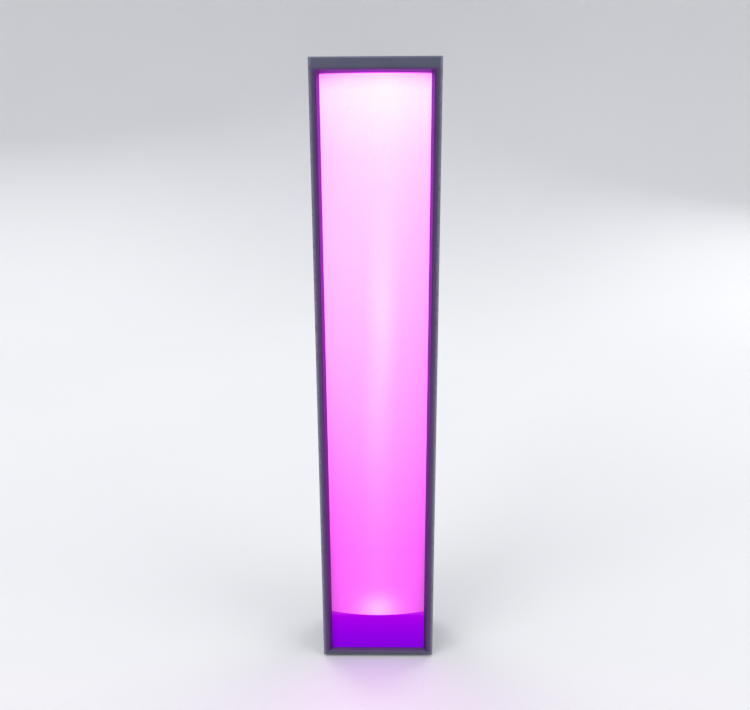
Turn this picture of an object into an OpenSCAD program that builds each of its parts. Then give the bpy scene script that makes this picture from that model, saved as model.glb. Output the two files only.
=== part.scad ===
// Battery LED light tube with a framed, bowed diffuser and a rear tilt mount.
// +Z runs up the tube, the lit front faces -Y, and the origin is the mouth of the base thread.

/* [Body] */
// Width of the housing and its front frame
body_w = 60; // [60:1:64]
// Height from the rest plane to the top of the frame
body_h = 310; // [304:1:330]
// Depth from the front face to the back wall
body_d = 40; // [40:0.5:42]
// Radius of the two long rear edges
edge_r = 7; // [6:0.5:8]
// Thickness of the side walls of the extrusion
side_wall = 2.6; // [2.4:0.1:2.8]
// Thickness of the back wall of the extrusion
back_wall = 2; // [1.8:0.1:2.2]
// Height of each end cap
cap_h = 11; // [11:0.2:12]

/* [Front] */
// Width of the frame's border at the two long sides
border = 4.8; // [4.6:0.1:5.2]
// Width of the frame's border at the top
top_border = 6.8; // [6.4:0.1:7]
// Width of the frame's border at the bottom
base_border = 3.8; // [3.7:0.1:4.2]
// Width of the sloped inner edge of the frame
bevel = 1.3; // [1:0.1:1.4]
// Thickness of the front frame
frame_t = 4; // [3.8:0.1:4.2]
// Height that the diffuser bows forward across the window
bow = 3.4; // [2.6:0.1:3.6]
// Wall thickness of the diffuser
diffuser_t = 1.8; // [1.4:0.1:2]
// Height of the diffuser's lower edge, where the base lens starts
split_z = 26.4; // [25:0.2:27]

/* [Light] */
// Spacing of the LEDs along the strip
led_pitch = 10; // [8:1:14]
// Side of one LED package
led_size = 5; // [3.5:0.5:5]

/* [Battery] */
// Diameter of one cell
cell_d = 18.4; // [18:0.1:18.6]
// Length of one cell
cell_len = 65.2; // [65:0.1:66]

/* [Controls] */
// Width of the control panel
panel_w = 43.6; // [42:0.2:44]
// Height of the control panel
panel_h = 95.6; // [94:0.2:96]
// Diameter of the dial
dial_d = 24; // [20:1:26]
// Travel of each push button
button_travel = 0.5; // [0.3:0.1:0.5]

/* [Mount] */
// Radius of each 1/4 inch thread
thread_r = 3.175; // [3.1:0.005:3.2]
// Height of the tilt pivot above the rest plane
pivot_z = 256; // [210:1:260]
// Length of the tilt arm from its pivot to its thread
arm_len = 50; // [40:1:55]
// Radius of the tilt pivot bolt
bolt_r = 3; // [2.5:0.1:3]

/* [Hidden] */
$fn = 48;
eps = 0.05;
slip = 0.05;        // radial clearance of a turning fit
fit = 0.2;          // clearance round a piece that drops into a pocket

// depth planes, from the front to the back
thread_setback = 22;
y_front = -thread_setback;
y_rim = y_front + frame_t;
y_back = y_front + body_d;
y_ledge = y_rim + 3;
y_web = y_ledge + 9;
web_t = 2;
y_bay = y_web + web_t;
y_bay_back = y_back - back_wall;

// heights, from the foot to the top
z_base = 1;
z_frame_top = body_h;
cap_top_gap = 0.6;
gasket_t = 0.6;
z_low = z_base + cap_h + gasket_t;
z_cap_top = body_h - cap_top_gap;
z_high = z_cap_top - cap_h - 0.4 - gasket_t;

// window of the frame and the seat of the diffuser
win_half = body_w / 2 - border;
win_z0 = z_base + base_border;
win_z1 = body_h - top_border;
seat_half = win_half + 2.4;
seat_z0 = win_z0 - 0.7;
seat_z1 = win_z1 + 1.2;
lens_half = seat_half - 0.4;
bevel_depth = 1.6;
lip_depth = frame_t - 0.6;
chamber_half = win_half + 0.5;
chamber_z0 = win_z0 + 0.4;
chamber_z1 = win_z1 - 1.4;
y_crown = y_front + 0.4;
bow_r = (win_half * win_half + bow * bow) / (2 * bow);
y_flange = y_ledge - 0.55;
lens_t = 2.6;
y_lens_face = y_front + bevel_depth + 0.1;

// screw ports of the extrusion: [x, y] on the +X side, mirrored to -X
port_x = body_w / 2 - side_wall - 4.6;
cap_ports = [[port_x, y_back - 6], [port_x, y_web + 4.8]];
side_groove_ys = [y_rim + 4, y_rim + 7, y_rim + 10];
m3_r = 1.5;
m2_r = 1;
frame_screw_x = body_w / 2 - 3.8;
frame_screw_zs = [z_base + 2, body_h - 3];
frame_screw_r = 0.8;
frame_head_r = 1.3;

// light engine
led_t = 1.6;
board_t = 1.2;
pad_t = 0.4;
strip_half = 8.6;
y_strip = y_web - pad_t - board_t;
strip_z0 = 14;
strip_z1 = z_high - 1.4;
first_led_z = split_z + 10.4;
strip_leds_n = floor((strip_z1 - 8 - first_led_z) / led_pitch) + 1;
base_led_xs = [-5.8, 0, 5.8];
base_led_z = 20.5;
divider_z0 = split_z + 0.4;
divider_t = 2.6;
end_board_t = 1.2;
end_led_xs = [-15, -5, 5, 15];
y_end_led = y_ledge + 4;

// control section
panel_z = 64;
panel_r = 3;
panel_proud = 1;
y_panel = y_back + panel_proud;
panel_flange_t = 1.85;
panel_plug_w = panel_w - 6.8;
panel_plug_h = panel_h - 8;
y_plug = y_bay_back - 0.8;
y_board = y_plug - 4.2;
board_half = 19;
board_z0 = 19;
board_z1 = 109;
main_board_t = 1.6;
display_z = 95.5;
button_z = 75;
button_xs = [-13, 0, 13];
dial_z = 47;
dial_h = 7.6;
shaft_r = 3;
bushing_r = 4.5;
switch_z = 27;
switch_travel = 6;
switch_slot_w = 12.4;
switch_knob_w = 5.2;
post_xz = [[16, 23.5], [16, 83]];

// charging port on the +X side
port_y = 6.4;
port_z = 39;
cover_t = 1;
cover_w = 8.4;
cover_h = 17.2;
cover_pocket = cover_t + 0.1;
cover_hinge_x = body_w / 2 - cover_t / 2 - 0.05;
cover_hinge_z = port_z - cover_h / 2 + 0.5;

// battery
cell_x = cell_d / 2 + 0.8;
cell_y = (y_bay + y_bay_back) / 2;
cell_z0 = 126;
cell_gap = 2;
cradle_half = 19.4;
cradle_t = 2;
protection_half = 18;

// hanging loop in the top cap
loop_r = 1.4;
loop_half = 15.5;
loop_y0 = -8;
loop_y1 = y_back - 5;
loop_z = z_cap_top - 2.3;
loop_corner = 3;
loop_well_half = loop_half + 2.9;
loop_well_z = z_cap_top - 4.2;
loop_pin = 1.6;

// threaded inserts
insert_flange_r = 6;
insert_barrel_r = 4.5;
insert_flange_t = 1.2;
top_insert_y = 2;
top_insert_len = 6.6;
base_insert_len = 10.5;
foot_t = 2.4;
foot_half = 18.4;
magnet_r = 5.5;
magnet_t = 3;
magnet_z = 1.25;

// accessory rail, its shoe and the tilt arm
rail_z0 = 118;
rail_z1 = 294;
rail_slot_half = 9.1;
rail_mouth_half = 6.6;
rail_wall = 2.5;
rail_h = 4.5;
rail_lip = 1.5;
fin_xs = [14.6, 17.4, 20.2];
fin_w = 1.2;
fin_h = 1.4;
shoe_len = 36;
shoe_flange_t = 2.4;
y_shoe_plate = y_back + rail_h + 0.3;
shoe_plate_t = 1.8;
pivot_y = y_shoe_plate + shoe_plate_t + 6.4;
ear_t = 4;
ear_in = 6.3;
ear_r = 6;
arm_half = 5.7;
arm_t = 5.6;
arm_pad_r = 9.5;
stop_h = 3.5;
knob_r = 8.2;
knob_t = 8;
knob_x = ear_in + ear_t + 0.6;

// ---------- shared shapes ----------

// Outline with a flat front at y0 and two rounded rear corners at y1
module back_rounded(inset, y0, y1, r) {
    half = body_w / 2 - inset;
    translate([-half, y0]) square([2 * half, y1 - r - y0]);
    translate([-(half - r), y0]) square([2 * (half - r), y1 - y0]);
    for (s = [-1, 1]) translate([s * (half - r), y1 - r]) circle(r);
}

// Centred rectangle with round corners
module rounded(w, h, r) {
    square([w - 2 * r, h], center = true);
    square([w, h - 2 * r], center = true);
    for (x = [-1, 1], y = [-1, 1]) translate([x * (w / 2 - r), y * (h / 2 - r)]) circle(r);
}

// Stands a flat shape up in the XZ plane and gives it a thickness from y0 to y1
module upright(y0, y1) {
    translate([0, y1, 0]) rotate([90, 0, 0]) linear_extrude(y1 - y0) children();
}

// A box from its lowest to its highest corner
module span(a, b) {
    translate(a) cube(b - a);
}

module at_cap_ports() {
    for (s = [-1, 1], p = cap_ports) translate([s * p[0], p[1], 0]) children();
}

module rod_z(x, y, z0, z1, r) {
    translate([x, y, z0]) cylinder(h = z1 - z0, r = r);
}

module rod_y(x, z, y0, y1, r) {
    translate([x, y0, z]) rotate([-90, 0, 0]) cylinder(h = y1 - y0, r = r);
}

module rod_x(y, z, x0, x1, r) {
    translate([x0, y, z]) rotate([0, 90, 0]) cylinder(h = x1 - x0, r = r);
}

// Flanged brass insert along +Z with its mouth at z = 0 and its barrel going up
module insert(len, flange_t) {
    difference() {
        union() {
            cylinder(h = flange_t, r = insert_flange_r);
            cylinder(h = len, r = insert_barrel_r);
        }
        translate([0, 0, -1]) cylinder(h = len + 2, r = thread_r);
    }
}

// Countersunk screw along +Z with the face of its head at z = 0 and its shank going up
module countersunk(len, r, head_r) {
    difference() {
        union() {
            cylinder(h = head_r - r, r1 = head_r, r2 = r);
            cylinder(h = len, r = r);
        }
        translate([0, 0, -1]) cylinder(h = 1.9, r = r * 0.75, $fn = 6);
    }
}

// ---------- casing ----------

module housing_section() {
    difference() {
        back_rounded(0, y_rim, y_back, edge_r);
        difference() {
            back_rounded(side_wall, y_bay, y_bay_back, edge_r - back_wall);
            for (s = [-1, 1], p = cap_ports) {
                translate([s * p[0], p[1]]) circle(3);
                translate([s * (p[0] + 2.5) - 2.5, p[1] - 2]) square([5, 4]);
            }
        }
        translate([-chamber_half, y_rim - 1]) square([2 * chamber_half, y_web - y_rim + 1]);
        translate([-seat_half, y_rim - 1]) square([2 * seat_half, y_ledge - y_rim + 1]);
        for (s = [-1, 1], p = cap_ports) translate([s * p[0], p[1]]) circle(m3_r);
        for (s = [-1, 1]) translate([s * (body_w / 2 - 2.7) - 0.9, y_ledge + 1.5]) square([1.8, 8]);
        for (s = [-1, 1], y = side_groove_ys) translate([s * body_w / 2 - 0.7, y]) square([1.4, 1]);
    }
}

module rail_section() {
    for (s = [-1, 1]) mirror([s < 0 ? 1 : 0, 0]) {
        translate([rail_slot_half, y_back - 0.3]) square([rail_wall, rail_h + 0.3]);
        translate([rail_mouth_half, y_back + rail_h - rail_lip])
            square([rail_slot_half - rail_mouth_half + rail_wall, rail_lip]);
        for (x = fin_xs) translate([x - fin_w / 2, y_back - 0.3]) square([fin_w, fin_h + 0.3]);
    }
}

module housing() {
    color("dimgray") {
        difference() {
            translate([0, 0, z_low]) linear_extrude(z_high - z_low) housing_section();
            // pocket and opening for the control panel
            translate([0, 0, panel_z]) upright(y_back - 0.9, y_back + 2)
                rounded(panel_w + 2 * fit, panel_h + 2 * fit, panel_r + fit);
            translate([0, 0, panel_z]) upright(y_bay_back - 1, y_back)
                rounded(panel_plug_w + 2 * fit, panel_plug_h + 2 * fit, 2);
            for (s = [-1, 1], z = [-1, 1])
                rod_y(s * (panel_w / 2 - 2.2), panel_z + z * (panel_h / 2 - 2.2), y_bay_back - 1, y_back, m2_r);
            // charging port and the pocket of its cover
            span([body_w / 2 - side_wall - 1, port_y - 2.2, port_z - 5.2],
                 [body_w / 2 + 1, port_y + 2.2, port_z + 5.2]);
            span([body_w / 2 - cover_pocket, port_y - cover_w / 2 - 0.3, port_z - cover_h / 2 - 0.4],
                 [body_w / 2 + 1, port_y + cover_w / 2 + 0.3, port_z + cover_h / 2 + 0.4]);
            rod_x(port_y, port_z + cover_h / 2 + 0.2, body_w / 2 - cover_pocket, body_w / 2 + 1, 2.4);
            // way through the web for the flex cable
            span([-6, y_web - 1, z_low - 1], [6, y_bay + 0.5, z_low + 1.6]);
            // stop screws in the floor of the rail
            for (z = [rail_z0 + 0.5 + stop_h / 2, rail_z1 - 0.5 - stop_h / 2])
                rod_y(0, z, y_bay_back - 1, y_back + 1, m2_r);
        }
        translate([0, 0, rail_z0]) linear_extrude(rail_z1 - rail_z0) rail_section();
    }
}

// Four-sided opening that narrows from the front face to the lip of the frame
module window_taper() {
    a = win_half + bevel;
    b = win_half;
    y0 = y_front - eps;
    y1 = y_front + bevel_depth;
    polyhedron(
        points = [
            [-a, y0, win_z0 - bevel], [a, y0, win_z0 - bevel], [a, y0, win_z1 + bevel], [-a, y0, win_z1 + bevel],
            [-b, y1, win_z0], [b, y1, win_z0], [b, y1, win_z1], [-b, y1, win_z1]
        ],
        faces = [[3, 2, 1, 0], [4, 5, 6, 7], [0, 1, 5, 4], [1, 2, 6, 5], [2, 3, 7, 6], [3, 0, 4, 7]]
    );
}

module front_frame() {
    edge = 0.8 * sqrt(2);
    mid_z = (z_base + body_h) / 2;
    color("slategray") difference() {
        span([-body_w / 2, y_front, z_base], [body_w / 2, y_rim, body_h]);
        window_taper();
        span([-win_half, y_front + 1, win_z0], [win_half, y_rim + 1, win_z1]);
        span([-seat_half + 0.2, y_front + lip_depth, seat_z0], [seat_half - 0.2, y_rim + 1, seat_z1]);
        for (s = [-1, 1]) translate([s * body_w / 2, y_front, mid_z])
            rotate([0, 0, 45]) cube([edge, edge, 2 * body_h], center = true);
        for (z = [z_base, body_h]) translate([0, y_front, z])
            rotate([45, 0, 0]) cube([2 * body_w, edge, edge], center = true);
        for (s = [-1, 1], z = frame_screw_zs) rod_y(s * frame_screw_x, z, y_front + 1.2, y_rim + 1, frame_screw_r);
    }
}

// What both end caps share: outline, diffuser seat, light chamber and screw holes
module cap_blank(z0, z1, chamber_a, chamber_b, face_z, up) {
    difference() {
        translate([0, 0, z0]) linear_extrude(z1 - z0) back_rounded(0, y_rim, y_back, edge_r);
        span([-seat_half, y_rim - 1, max(z0 - 1, seat_z0)], [seat_half, y_ledge, min(z1 + 1, seat_z1)]);
        span([-chamber_half, y_rim - 1, chamber_a], [chamber_half, y_web, chamber_b]);
        at_cap_ports() {
            rod_z(0, 0, z0 - 1, z1 + 1, m3_r + 0.1);
            translate([0, 0, face_z]) mirror([0, 0, up ? 0 : 1])
                translate([0, 0, -eps]) cylinder(h = 1.35, r1 = 2.75, r2 = m3_r);
        }
        for (s = [-1, 1], z = frame_screw_zs) {
            rod_y(s * frame_screw_x, z, y_rim - 1, y_back + 1, frame_screw_r + 0.1);
            rod_y(s * frame_screw_x, z, y_back - 5, y_back + 1, frame_head_r + 0.15);
        }
    }
}

module top_cap() {
    z0 = z_high + gasket_t;
    color("dimgray") difference() {
        union() {
            cap_blank(z0, z_cap_top, z0 - 1, chamber_z1, z_cap_top, false);
            span([-17, y_bay + 0.4, z_high - 2.4], [17, y_bay_back - 0.4, z0 + 0.2]);
        }
        span([-loop_well_half, loop_y0 - 3, loop_well_z], [loop_well_half, loop_y1 + 3, body_h + 1]);
        rod_x(loop_y1, loop_z, -loop_well_half - loop_pin - 0.2, loop_well_half + loop_pin + 0.2, loop_r + slip);
        translate([0, top_insert_y, 0]) {
            rod_z(0, 0, loop_well_z - top_insert_len, loop_well_z + 1, insert_barrel_r);
            rod_z(0, 0, loop_well_z - insert_flange_t, loop_well_z + 1, insert_flange_r);
        }
        span([-14, y_bay + 3, z_high - 3], [14, y_bay_back - 3, z_high + 0.2]);
    }
}

module bottom_cap() {
    z1 = z_base + cap_h;
    color("dimgray") difference() {
        union() {
            cap_blank(z_base, z1, chamber_z0, z1 + 1, z_base, true);
            for (s = [-1, 1]) translate([s * 12, 0, 0])
                span([-5, y_bay + 0.4, z1 - 0.2], [5, y_bay_back - 0.4, z_low + 2.4]);
        }
        translate([0, 0, z_base - 1]) linear_extrude(foot_t) translate([0, 1]) rounded(2 * foot_half + 0.2, 30.2, 4.1);
        rod_z(0, 0, z_base - 1, base_insert_len, insert_barrel_r);
        for (s = [-1, 1]) rod_z(s * 12, 3, z_base, magnet_z + magnet_t + 0.05, magnet_r + slip);
    }
}

// Sealing sheet between the extrusion and an end cap, with a tab on each side of the diffuser's seat
module end_gasket(z) {
    color("darkslategray") translate([0, 0, z]) linear_extrude(gasket_t) difference() {
        back_rounded(0.5, y_rim + 0.1, y_back - 0.5, edge_r - 0.5);
        translate([-seat_half, y_rim]) square([2 * seat_half, y_ledge + 0.3 - y_rim]);
        back_rounded(side_wall + 5.6, y_bay, y_bay_back, 1);
        translate([-chamber_half, y_ledge - 1]) square([2 * chamber_half, y_web - y_ledge + 1]);
        for (s = [-1, 1], p = cap_ports) translate([s * p[0], p[1]]) circle(m3_r + 0.3);
    }
}

module top_gasket() end_gasket(z_high);
module bottom_gasket() end_gasket(z_base + cap_h);

// ---------- lit front ----------

module diffuser_outline(inner) {
    intersection() {
        translate([0, y_crown + bow_r]) circle(bow_r - (inner ? diffuser_t : 0), $fn = 240);
        translate([-(inner ? win_half + 0.5 : lens_half), y_front])
            square([2 * (inner ? win_half + 0.5 : lens_half), y_flange - y_front + (inner ? 1 : 0)]);
    }
}

module diffuser() {
    z1 = win_z1 - 0.2;
    end_t = 1.6;
    color("plum") {
        translate([0, 0, split_z]) linear_extrude(z1 - split_z) difference() {
            diffuser_outline(false);
            diffuser_outline(true);
        }
        for (z = [split_z, z1 - end_t]) translate([0, 0, z]) linear_extrude(end_t) diffuser_outline(false);
    }
}

// Flat lens of the base light: a flange under the frame's lip and a block that fills the window
module base_lens() {
    z1 = split_z - 0.2;
    color("blueviolet") {
        span([-lens_half, y_flange - lens_t, seat_z0 + 0.2], [lens_half, y_flange, z1]);
        span([-win_half + 0.1, y_lens_face, win_z0 + 0.1], [win_half - 0.1, y_flange - lens_t + 0.1, z1]);
    }
}

module lens_gasket() {
    color("darkslategray") difference() {
        span([-lens_half, y_ledge - 0.5, seat_z0 + 0.2], [lens_half, y_ledge - 0.05, seat_z1 - 0.3]);
        span([-win_half - 0.6, y_ledge - 1, win_z0 + 0.4], [win_half + 0.6, y_ledge + 1, win_z1 - 1.4]);
    }
}

module reflector() {
    a = chamber_half - 0.3;
    back = y_strip - 0.1;
    wall = 0.8;
    color("white") difference() {
        translate([0, 0, divider_z0 + divider_t + 1.4])
            linear_extrude(strip_z1 - divider_z0 - divider_t - 1.4) polygon([
                [-a, y_ledge], [-a + 1.8, y_ledge], [-8.8, back - wall], [8.8, back - wall], [a - 1.8, y_ledge],
                [a, y_ledge], [9.4, back], [-9.4, back]
            ]);
        for (i = [0 : strip_leds_n - 1]) translate([0, back, first_led_z + i * led_pitch])
            cube([led_size + 0.8, 4, led_size + 0.8], center = true);
    }
}

module divider() {
    z1 = divider_z0 + divider_t;
    color("white") difference() {
        span([-chamber_half + 0.2, y_ledge, divider_z0], [chamber_half - 0.2, y_web - 0.1, z1]);
        span([-strip_half - 0.2, y_strip - 0.1, divider_z0 - 1], [strip_half + 0.2, y_web, z1 + 1]);
    }
}

// One LED package with its face towards -Y, standing on the plane y
module led(x, z, y) {
    span([x - led_size / 2, y - led_t, z - led_size / 2], [x + led_size / 2, y, z + led_size / 2]);
}

module led_board() {
    color("ivory") span([-strip_half, y_strip, strip_z0], [strip_half, y_strip + board_t, strip_z1]);
}

module thermal_pad() {
    color("lightgray") span([-8.4, y_strip + board_t, strip_z0 + 1], [8.4, y_web, strip_z1 - 1]);
}

module strip_leds() {
    color("lightyellow") for (i = [0 : strip_leds_n - 1]) led(0, first_led_z + i * led_pitch, y_strip);
}

module base_leds() {
    color("mediumpurple") for (x = base_led_xs) led(x, base_led_z, y_strip);
}

module top_led_board() {
    color("ivory")
        span([-20, y_end_led - 3, chamber_z1 - end_board_t], [20, y_end_led + 3, chamber_z1]);
}

module uplight_board() {
    z0 = divider_z0 + divider_t;
    color("ivory") span([-6, y_end_led - 3, z0], [6, y_end_led + 2.4, z0 + 1]);
}

// The high-power LEDs of both end boards: four facing down from the top, one facing up from the divider
module end_leds() {
    top = chamber_z1 - end_board_t;
    low = divider_z0 + divider_t + 1;
    color("lightyellow") {
        for (x = end_led_xs) span([x - 2.5, y_end_led - 2.5, top - led_t], [x + 2.5, y_end_led + 2.5, top]);
        span([-2.5, y_end_led - 2.5, low], [2.5, y_end_led + 2.4, low + 1.4]);
    }
}

// ---------- battery ----------

module battery_cells() {
    color("steelblue") for (s = [-1, 1], i = [0, 1]) {
        z = cell_z0 + i * (cell_len + cell_gap);
        difference() {
            union() {
                rod_z(s * cell_x, cell_y, z, z + cell_len - 1, cell_d / 2);
                rod_z(s * cell_x, cell_y, z, z + cell_len, 3);
            }
            translate([s * cell_x, cell_y, z + cell_len - 3]) difference() {
                cylinder(h = 1, r = cell_d / 2 + 1);
                translate([0, 0, -1]) cylinder(h = 3, r = cell_d / 2 - 0.5);
            }
        }
    }
}

module battery_cradle() {
    plate_zs = [cell_z0 - 0.6 - cradle_t, cell_z0 + 2 * cell_len + cell_gap + 0.6];
    color("black") {
        for (z = plate_zs)
            span([-cradle_half, y_bay + 0.3, z], [cradle_half, y_bay_back - 0.3, z + cradle_t]);
        span([-0.7, y_bay + 0.3, plate_zs[0]], [0.7, y_bay_back - 0.3, plate_zs[1] + 0.1]);
    }
}

module battery_contacts() {
    ends = [cell_z0 - 0.5, cell_z0 + 2 * cell_len + cell_gap + 0.1];
    color("silver") {
        for (s = [-1, 1], z = ends)
            span([s * cell_x - 4, cell_y - 4, z], [s * cell_x + 4, cell_y + 4, z + 0.4]);
        for (s = [-1, 1])
            span([s * cell_x - 4, cell_y - 4, cell_z0 + cell_len + 0.6],
                 [s * cell_x + 4, cell_y + 4, cell_z0 + cell_len + 1.4]);
    }
}

module protection_board() {
    z0 = cell_z0 + 2 * cell_len + cell_gap + 6;
    color("darkgreen") {
        span([-protection_half, cell_y - 1, z0], [protection_half, cell_y + 0.2, z0 + 16]);
        for (x = [-11, -3, 5]) span([x, cell_y - 2.2, z0 + 4], [x + 5, cell_y - 0.8, z0 + 10]);
    }
}

// Two insulated leads from the protection board to the control board
module battery_leads() {
    r = 0.8;
    x = 20.6;
    y = cell_y - 1.4;
    z0 = 104;
    z1 = cell_z0 + 2 * cell_len + cell_gap + 12;
    color("firebrick") for (s = [-1, 1]) {
        rod_z(s * x, y, z0, z1, r);
        for (z = [z0, z1]) translate([s * x, y, z]) sphere(r);
        rod_x(y, z1, s > 0 ? protection_half : -x, s > 0 ? x : -protection_half, r);
        rod_y(s * x, z0, y, y_board - main_board_t - 0.8, r);
        translate([s * x, y_board - main_board_t - 0.8, z0]) sphere(r);
        rod_x(y_board - main_board_t - 0.8, z0, s > 0 ? 15 : -x, s > 0 ? x : -15, r);
    }
}

// ---------- controls ----------

module flex_cable() {
    t = 0.3;
    z = z_low + 0.6;
    y0 = y_strip - t;
    y1 = y_board - main_board_t;
    color("orange") {
        span([-4, y0, z], [4, y_strip, z + 4.4]);
        span([-4, y0, z], [4, y1, z + t]);
        span([-4, y1 - t, z], [4, y1, board_z0 + 5]);
    }
}

module control_board() {
    color("darkgreen") difference() {
        span([-board_half, y_board - main_board_t, board_z0], [board_half, y_board, board_z1]);
        for (s = [-1, 1], p = post_xz) rod_y(s * p[0], p[1], y_board - 3, y_board + 1, m2_r + 0.1);
    }
}

// Chips on the inner face of the control board: [x, z, width, height, thickness]
module board_chips() {
    y = y_board - main_board_t;
    color("black") for (c = [
        [0, 66, 10, 10, 1], [-12, 52, 5, 6, 1.2], [-12, 66, 5, 6, 1.2], [12, 92, 6, 4, 1], [0, 88, 7, 7, 1],
        [-12, 92, 4, 4, 0.9], [10, 34, 5, 5, 1]
    ]) span([c[0] - c[2] / 2, y - c[4], c[1] - c[3] / 2], [c[0] + c[2] / 2, y, c[1] + c[3] / 2]);
}

module power_inductors() {
    y = y_board - main_board_t;
    color("gray") {
        for (z = [48, 60, 72]) span([9, y - 4, z - 4], [17, y, z + 4]);
        for (z = [36, 44]) rod_y(-11, z, y - 7, y, 3);
    }
}

// Tact switches behind the three buttons and the slide switch behind the travel lock
module panel_switches() {
    color("silver") {
        for (x = button_xs) {
            span([x - 3, y_board, button_z - 3], [x + 3, y_board + 1.3, button_z + 3]);
            rod_y(x, button_z, y_board + 1.2, y_board + 1.6, 1.3);
        }
        span([-8, y_board, switch_z - 3.4], [8, y_board + 2.8, switch_z + 3.4]);
    }
}

module encoder_body() {
    color("silver") difference() {
        union() {
            span([-6.4, y_board, dial_z - 6.4], [6.4, y_plug - 0.15, dial_z + 6.4]);
            rod_y(0, dial_z, y_plug - 0.3, y_panel + 0.5, bushing_r);
        }
        rod_y(0, dial_z, y_board + 1.8, y_panel + 2, shaft_r + slip);
        rod_y(0, dial_z, y_board + 0.5, y_board + 2, shaft_r + 0.6);
    }
}

module port_board() {
    color("darkgreen") span([9, port_y - 2.8, port_z - 9], [26.4, port_y - 1.6, port_z + 9]);
}

module usb_socket() {
    color("silver") translate([19, port_y, port_z]) rotate([90, 0, 90]) {
        linear_extrude(8.6) difference() {
            rounded(3.2, 9, 1.5);
            rounded(2.6, 8.4, 1.2);
        }
        linear_extrude(1) rounded(3.2, 9, 1.5);
        linear_extrude(6.6) square([0.7, 6.6], center = true);
    }
}

module display_module() {
    color("black") span([-17, y_plug - 2.2, display_z - 9.5], [17, y_plug - 0.1, display_z + 10.5]);
}

module display_window() {
    color("midnightblue") translate([0, 0, display_z]) upright(y_panel - 1.3, y_panel - 0.1) rounded(32, 17, 1.5);
}

module button_outline(grow) {
    rounded(9 + 2 * grow, 5.4 + 2 * grow, 2.6 + grow);
}

module control_panel() {
    color("black") difference() {
        union() {
            translate([0, 0, panel_z]) upright(y_panel - panel_flange_t, y_panel) rounded(panel_w, panel_h, panel_r);
            translate([0, 0, panel_z]) upright(y_plug, y_panel - panel_flange_t + 0.1)
                rounded(panel_plug_w, panel_plug_h, 1.8);
            for (s = [-1, 1], p = post_xz) rod_y(s * p[0], p[1], y_board, y_plug + 0.1, 2.2);
        }
        translate([0, 0, display_z]) upright(y_panel - 1.35, y_panel + 1) rounded(32.3, 17.3, 1.6);
        translate([0, 0, display_z]) upright(y_plug - 1, y_panel) rounded(28.6, 13.6, 1);
        for (x = button_xs) translate([x, 0, button_z]) upright(y_plug - 1, y_panel + 1) button_outline(0.3);
        rod_y(0, dial_z, y_plug - 1, y_panel + 1, bushing_r + 0.2);
        translate([0, 0, switch_z]) upright(y_plug - 1, y_panel + 1) rounded(switch_slot_w, 5, 1);
        for (s = [-1, 1], z = [-1, 1]) translate([s * (panel_w / 2 - 2.2), 0, panel_z + z * (panel_h / 2 - 2.2)]) {
            rod_y(0, 0, y_plug - 1, y_panel + 1, m2_r + 0.1);
            translate([0, y_panel + eps, 0]) rotate([90, 0, 0]) cylinder(h = 0.95, r1 = 1.85, r2 = m2_r);
        }
        for (s = [-1, 1], p = post_xz) rod_y(s * p[0], p[1], y_board - 1, y_board + 3.6, m2_r);
    }
}

// Panel screws and the two rail stop screws, all seen from the back
module panel_screws() {
    color("gray") {
        for (s = [-1, 1], z = [-1, 1])
            translate([s * (panel_w / 2 - 2.2), y_panel, panel_z + z * (panel_h / 2 - 2.2)])
                rotate([90, 0, 0]) countersunk(2.8, m2_r - 0.02, 1.8);
        for (z = [rail_z0 + 0.5 + stop_h / 2, rail_z1 - 0.5 - stop_h / 2])
            translate([0, y_back + 2.7, z]) rotate([90, 0, 0]) countersunk(4.4, m2_r - 0.02, 1.6);
    }
}

module board_screws() {
    y = y_board - main_board_t;
    color("gray") for (s = [-1, 1], p = post_xz) {
        rod_y(s * p[0], p[1], y - 1.4, y, 1.9);
        rod_y(s * p[0], p[1], y - 0.1, y_board + 3.2, m2_r - 0.02);
    }
}

module cap_screws() {
    color("gray") at_cap_ports() {
        translate([0, 0, z_cap_top]) mirror([0, 0, 1]) countersunk(18, m3_r - 0.02, 2.7);
        translate([0, 0, z_base]) countersunk(18, m3_r - 0.02, 2.7);
    }
}

// Long screws from the back of the caps into the corners of the frame
module frame_screws() {
    color("gray") for (s = [-1, 1], z = frame_screw_zs) difference() {
        union() {
            rod_y(s * frame_screw_x, z, y_front + 1.6, y_back - 4.9, frame_screw_r - 0.02);
            rod_y(s * frame_screw_x, z, y_back - 5, y_back - 3.4, frame_head_r);
        }
        translate([s * frame_screw_x, y_back - 4.3, z]) rotate([-90, 0, 0]) cylinder(h = 2, r = 0.75, $fn = 6);
    }
}

module push_button(x) {
    translate([x, 0, button_z]) {
        upright(y_plug - 0.2, y_panel + 1) button_outline(0);
        upright(y_plug - 0.9, y_plug - 0.15) button_outline(1);
        rod_y(0, 0, y_board + 2.25, y_plug - 0.8, 1.4);
    }
}

module power_button() color("tomato") push_button(button_xs[0]);
module mode_button() color("lightslategray") push_button(button_xs[1]);
module effect_button() color("lightslategray") push_button(button_xs[2]);

module encoder_plunger() {
    color("silver") rod_y(0, dial_z, y_board + 1.05, y_board + 1.75, shaft_r - 0.2);
}

module encoder_shaft() {
    color("silver") rod_y(0, dial_z, y_board + 1.8, y_panel + 7.2, shaft_r);
}

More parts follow.
